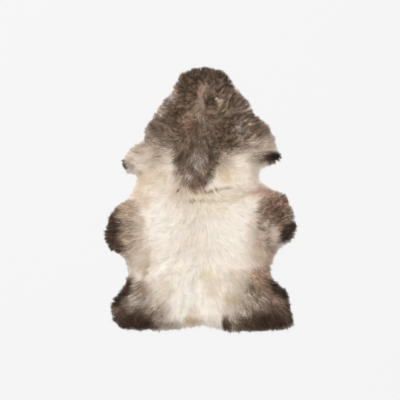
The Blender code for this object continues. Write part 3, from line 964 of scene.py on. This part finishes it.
def wool_colours(s, stops):
    """Colour at each of a staple's stops: painted shade at the root, a lighter tip, and its own tone."""
    points = s["points"]
    total = len(points)
    pick = rng.uniform(0.3, 0.9, total)[:, None]
    place = points[:, 0, :2] * (1 - pick) + points[:, -1, :2] * pick
    place = place + rng.normal(0, 1.6 * MM, place.shape)
    # Markings fray along the hair.
    lie = points[:, -1, :2] - points[:, 0, :2]
    lie /= np.linalg.norm(lie, axis=1, keepdims=True) + 1e-9
    fray = rng.normal(0, 1, total) * np.where(rng.uniform(0, 1, total) < 0.2, 11, 2) * MM
    place = place + lie * fray[:, None]
    own = marking_and_crease_shade(place[:, None] * 0.45 + points[..., :2] * 0.55)
    light = own.mean(axis=2)
    dark = 1 - smooth(0.08, 0.55, light)
    # Dark wool's shine greys it, so its own colour is richer.
    own = np.clip(light[..., None] + (own - light[..., None]) * (1 + RICHER * dark[..., None]), 0.004, 1)
    curl = s["curl"][:, None]
    spread = 0.04 + 0.30 * dark * (1 - 0.75 * curl)
    # Painted light and shade on the curls: wool on their crests is made lighter, wool in their hollows darker.
    crest = ripple(points[..., :2])
    crest = np.where(crest < 0, 1.35, 0.9) * crest * curl * (0.06 + RIPPLE_PAINTED_SHADE * dark)
    strand = strands(points[..., :2]) * (1 - 0.8 * curl) * (0.03 + STRAND_TONE * dark)
    gain = np.exp(s["tone"][:, None] * spread + crest + strand)
    # Where dark wool turns into pale wool, hairs of both kinds lie side by side.
    unruly = unruliness(points[:, 0, :2])[:, None]
    mixed = MIXED * (0.3 + 2.2 * unruly) * (1 - 0.8 * curl) * dark * (1 - dark)
    share = s["tone"][:, None] * mixed
    own += (linear(CREAM) * 0.85 - own) * (1 - np.exp(-np.maximum(share, 0)))[..., None]
    gain *= np.exp(1.25 * np.minimum(share, 0))
    # A few bleached and a few dark hairs among the brown ones
    odd = rng.uniform(0, 1, total)[:, None]
    gain *= np.where((odd > 0.5) & (odd < 0.5 + 0.35 * unruly) & (dark > 0.1) & (dark < 0.8), 0.55, 1.0)
    gain *= np.where((odd < 0.05) & (dark > 0.4), 1.6, 1.0)
    gain *= np.where((odd > 0.975) & (dark < 0.3), 0.78, 1.0)
    t = stops[None, :]
    # Painted shade and light: each staple is darker at its root and lighter at its tip.
    ramp = (0.93 - 0.47 * dark) + (0.14 + 0.62 * dark) * t + 0.16 * curl * dark * t**2
    colour = own * (gain * ramp)[..., None]
    warm = rng.normal(0, 1, total) * 0.022
    colour *= 1 + warm[:, None, None] * np.array([1.0, 0.1, -1.2])
    # Painted warm shade: cream wool is made yellower down at its roots, among the locks.
    pale = ((1 - dark) * (1 - t))[..., None]
    colour *= 1 - pale * np.array([0.0, 0.045, 0.11])
    # At the very edge the tips are thin and bleached, and the light that comes through them is painted in as a
    # paler colour.
    rim = (1 - smooth(-5 * MM, 5 * MM, inside(points[..., :2])))[..., None]
    colour += (linear((232, 221, 212)) - colour) * rim * RIM_PALE
    return np.clip(colour * WOOL_GAIN, 0.004, 0.93)


def tubes(points, wide, curl, stops):
    """Closed three-sided staples: a root cap, bent stretches and a pointed tip. Returns corners, shading normals, quads and triangles."""
    total, stretches = len(points), len(stops) - 1
    way = np.empty_like(points)
    way[:, 0] = points[:, 1] - points[:, 0]
    way[:, -1] = points[:, -1] - points[:, -2]
    way[:, 1:-1] = points[:, 2:] - points[:, :-2]
    way /= np.linalg.norm(way, axis=2, keepdims=True) + 1e-12
    side = np.stack([-way[..., 1], way[..., 0], np.zeros(way.shape[:2])], axis=-1)
    side /= np.linalg.norm(side, axis=2, keepdims=True) + 1e-9
    up = np.cross(way, side)
    roll = rng.normal(0, 0.5, total)
    c, q = np.cos(roll)[:, None, None], np.sin(roll)[:, None, None]
    side, up = side * c + up * q, up * c - side * q
    verts = np.empty((total, 3 * stretches + 1, 3))
    round_way = np.empty_like(verts)
    for k in range(stretches):
        round_way[:, 3 * k] = side[:, k] - up[:, k] * 0.3
        round_way[:, 3 * k + 1] = up[:, k]
        round_way[:, 3 * k + 2] = -side[:, k] - up[:, k] * 0.3
    round_way[:, -1] = up[:, -1]
    # A staple stands for hundreds of fine fibres, so it takes much of its shading from the fleece that it lies in.
    share = (0.74 - 0.20 * curl)[:, None, None]
    lean = facing(points[:, -1, :2])[:, None, :] + np.zeros_like(round_way)
    stop_of = np.concatenate([np.repeat(np.arange(stretches), 3), [stretches]])
    at = points[:, stop_of, :2]
    lean[..., 0] -= RIPPLE_LEAN * curl[:, None] * ripple_x(at)
    lean[..., 1] -= RIPPLE_LEAN * curl[:, None] * ripple_y(at)
    lean /= np.linalg.norm(lean, axis=2, keepdims=True)
    normals = round_way * (1 - share) + lean * share
    normals /= np.linalg.norm(normals, axis=2, keepdims=True) + 1e-9
    for k in range(stretches):
        w = (wide * 0.5 * min(1.0, 0.84 + 0.4 * stops[k], 1.9 * (1 - stops[k]) + 0.2))[:, None]
        verts[:, 3 * k] = points[:, k] + side[:, k] * w - up[:, k] * w * 0.3
        verts[:, 3 * k + 1] = points[:, k] + up[:, k] * w * 0.75
        verts[:, 3 * k + 2] = points[:, k] - side[:, k] * w - up[:, k] * w * 0.3
    verts[:, -1] = points[:, -1]
    around = [(e, (e + 1) % 3) for e in range(3)]
    quads = np.array([(3 * k + e, 3 * k + f, 3 * k + 3 + f, 3 * k + 3 + e) for k in range(stretches - 1) for e, f in around])
    last = 3 * (stretches - 1)
    tris = np.array([(last + e, last + f, last + 3) for e, f in around] + [(2, 1, 0)])
    return verts, normals, quads, tris


def tube_uv(stops):
    """The two picture maps' shape for one staple, for its quads and its triangles."""
    stretches = len(stops) - 1
    u = np.array([0, 1 / 3, 2 / 3, 1])
    quads = np.array(
        [
            [(u[e], stops[k]), (u[e + 1], stops[k]), (u[e + 1], stops[k + 1]), (u[e], stops[k + 1])]
            for k in range(stretches - 1)
            for e in range(3)
        ]
    )
    tips = np.array([[(u[e], stops[-2]), (u[e + 1], stops[-2]), (u[e] + 1 / 6, 1.0)] for e in range(3)])
    cap = np.array([[(0.0, 0.0), (0.3, 0.0), (0.15, 0.05)]])
    return quads, tips, cap


def wool_piece(name, parts):
    """One mesh from several kinds of staple: parts are (staples, stops, colours) of one region."""
    total = sum(len(s["points"]) for s, _, _ in parts)
    cells = int(math.ceil(math.sqrt(total)))
    # Neighbours on the rug are neighbours in the baked picture, which fills row by row.
    order = np.concatenate([s["order"] for s, _, _ in parts])
    rank = np.empty(total, int)
    band = np.round(order[:, 1] / (9 * MM))
    rank[np.lexsort((order[:, 0], band))] = np.arange(total)
    all_verts, all_normals, all_colours, quads_out, tris_out = [], [], [], [], []
    wool_quads, wool_tris, baked_quads, baked_tris = [], [], [], []
    first, done = 0, 0
    for s, stops, colours in parts:
        n = len(s["points"])
        verts, normals, quads, tris = tubes(s["points"], s["wide"], s["curl"], stops)
        each = verts.shape[1]
        base = first + (np.arange(n) * each)[:, None, None]
        quads_out.append((base + quads[None]).reshape(-1, 4))
        tris_out.append((base + tris[None]).reshape(-1, 3))
        all_verts.append(verts.reshape(-1, 3))
        all_normals.append(normals.reshape(-1, 3))
        stop_of = np.concatenate([np.repeat(np.arange(len(stops) - 1), 3), [len(stops) - 1]])
        all_colours.append(colours[:, stop_of].reshape(-1, 3))
        number = rank[done : done + n]
        uv_quads, uv_tips, uv_cap = tube_uv(stops)
        shift = np.stack([number * 3.719 % 97, number * 6.317 % 89], axis=-1)[:, None, :]
        wool_quads.append((uv_quads.reshape(1, -1, 2) + shift).reshape(-1, 2))
        wool_tris.append((np.concatenate([uv_tips, uv_cap]).reshape(1, -1, 2) + shift).reshape(-1, 2))
        corner = np.stack([number % cells, number // cells], axis=-1)[:, None, :] / cells
        inner = lambda uv: (0.07 + 0.86 * (uv * np.array([1.0, 0.84]) + np.array([0.0, 0.16]))) / cells
        low_uv = (0.07 + 0.86 * uv_cap * np.array([2.5, 1.6])) / cells
        baked_quads.append((inner(uv_quads).reshape(1, -1, 2) + corner).reshape(-1, 2))
        baked_tris.append((np.concatenate([inner(uv_tips), low_uv]).reshape(1, -1, 2) + corner).reshape(-1, 2))
        first += n * each
        done += n
    obj = mesh_object(name, np.concatenate(all_verts), [np.concatenate(quads_out), np.concatenate(tris_out)])
    obj.data.normals_split_custom_set_from_vertices(np.concatenate(all_normals).tolist())
    add_colour(obj, "wool_colour", np.concatenate(all_colours))
    add_uv(obj, "Wool", np.concatenate(wool_quads + wool_tris))
    add_uv(obj, "OFBake", np.concatenate(baked_quads + baked_tris))
    obj.data.uv_layers["Wool"].active = True
    obj.data.uv_layers["Wool"].active_render = True
    return obj


# --------------------------------------------------------------------------- levels
WOOL_GAIN = 1.0
RICHER = 0.35
RIPPLE_PAINTED_SHADE = 0.52
STRAND_TONE = 0.2
MIXED = 1.2
RIM_PALE = 0.4
FLOOR_TONE = 0.06
FLOOR_GLOW = 0.846

# ----------------------------------------------------------------------- the pieces
hide, hide_flat, hide_quads = slab("hide", HIDE_CELL, HIDE_INSET, HIDE_LOW, HIDE_HIGH)
hide.data.materials.append(suede_material())

mat, mat_flat, _ = slab("underwool", MAT_CELL, HIDE_INSET + 0.6 * MM, HIDE_HIGH + 0.2 * MM, mat_height)
mat_colour = marking_and_crease_shade(mat_flat)
mat_dark = 1 - smooth(0.08, 0.55, mat_colour.mean(axis=1))
# Painted shade: under dark wool the mat is made darker still, deep below the locks.
mat_colour = np.clip(mat_colour * (1.0 - 0.42 * mat_dark)[:, None] * WOOL_GAIN, 0.004, 0.9)
add_colour(mat, "wool_colour", np.vstack([mat_colour, mat_colour]))
mat.data.materials.append(mat_material())

STRAIGHT = np.array([0.0, 0.56, 1.0])
CURLED = np.array([0.0, 0.37, 0.72, 1.0])
is_curly = lambda p: curliness(p) + 0.22 * waves(p, 16 * MM, 21) > 0.5
kinds = [
    (locks(NECK_SPACING, NECK_STAPLES, is_curly, CURLED, NECK_LONG, NECK_WIDE, 20), CURLED),
    (locks(BODY_SPACING, BODY_STAPLES, lambda p: ~is_curly(p), STRAIGHT, BODY_LONG, BODY_WIDE, 40), STRAIGHT),
    (fringe(STRAIGHT), STRAIGHT),
    (guard_hairs(STRAIGHT), STRAIGHT),
]
kinds = [(s, stops, wool_colours(s, stops)) for s, stops in kinds]

# Five pieces from the neck to the rump, with as many faces each
_along = np.concatenate([LENGTH / 2 - s["order"][:, 1] for s, _, _ in kinds])
_cost = np.concatenate([np.full(len(s["order"]), 6 * len(stops) - 8) for s, stops, _ in kinds])
_sorted = np.argsort(_along, kind="stable")
_share = np.cumsum(_cost[_sorted]) / _cost.sum()
NAMES = ("wool_neck", "wool_withers", "wool_back", "wool_loin", "wool_rump")
_cuts = [_along[_sorted[np.searchsorted(_share, (k + 1) / len(NAMES) - 1e-9)]] for k in range(len(NAMES) - 1)]
material = wool_material("wool", 0.10)
wool_pieces = []
for k, name in enumerate(NAMES):
    low_cut, high_cut = ([-1.0] + _cuts)[k], (_cuts + [9.0])[k]
    parts = []
    for s, stops, colours in kinds:
        at = LENGTH / 2 - s["order"][:, 1]
        chosen = (at > low_cut) & (at <= high_cut)
        if chosen.any():
            parts.append(({key: value[chosen] for key, value in s.items()}, stops, colours[chosen]))
    piece = wool_piece(name, parts)
    piece.data.materials.append(material)
    wool_pieces.append(piece)

# ------------------------------------------------------------- floor, light, camera
floor_size = 14.0
floor = mesh_object(
    "floor",
    np.array([(-floor_size, -floor_size, 0), (floor_size, -floor_size, 0), (floor_size, floor_size, 0), (-floor_size, floor_size, 0)], float),
    [np.array([[0, 1, 2, 3]])],
)
floor.data.materials.append(floor_material())

world = bpy.data.worlds.new("studio")
bpy.context.scene.world = world
world.use_nodes = True
world.node_tree.nodes["Background"].inputs[0].default_value = (1.0, 0.99, 0.975, 1)
world.node_tree.nodes["Background"].inputs[1].default_value = 0.37


def softbox(name, place, size, power, colour):
    light = bpy.data.lights.new(name, "AREA")
    light.shape = "RECTANGLE"
    light.size, light.size_y = size
    light.energy = power
    light.color = colour
    obj = bpy.data.objects.new(name, light)
    obj.location = place
    obj.rotation_mode = "QUATERNION"
    obj.rotation_quaternion = (Vector((0, 0, 0)) - Vector(place)).to_track_quat("-Z", "Y")
    bpy.context.scene.collection.objects.link(obj)
    return obj


softbox("overhead", (-0.3, 0.4, 5.2), (2.8, 2.8), 182, (1.0, 0.99, 0.975))
softbox("key", (-1.7, 1.9, 2.4), (1.6, 1.6), 40, (1.0, 0.985, 0.965))

HEIGHT = 4.0
FIELD = 1.4375  # metres across the picture
camera_data = bpy.data.cameras.new("camera")
camera_data.sensor_width = 36.0
camera_data.lens = 36.0 * HEIGHT / FIELD
camera_data.clip_end = 50
camera = bpy.data.objects.new("camera", camera_data)
camera.location = (-1.8 * MM, -1.7 * MM, HEIGHT)
bpy.context.scene.collection.objects.link(camera)
bpy.context.scene.camera = camera
bpy.context.scene.view_settings.view_transform = "Standard"

# ------------------------------------------------------------------ what is what
for piece in [hide, mat, *wool_pieces]:
    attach(piece, "root")
    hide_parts("sheepskin")
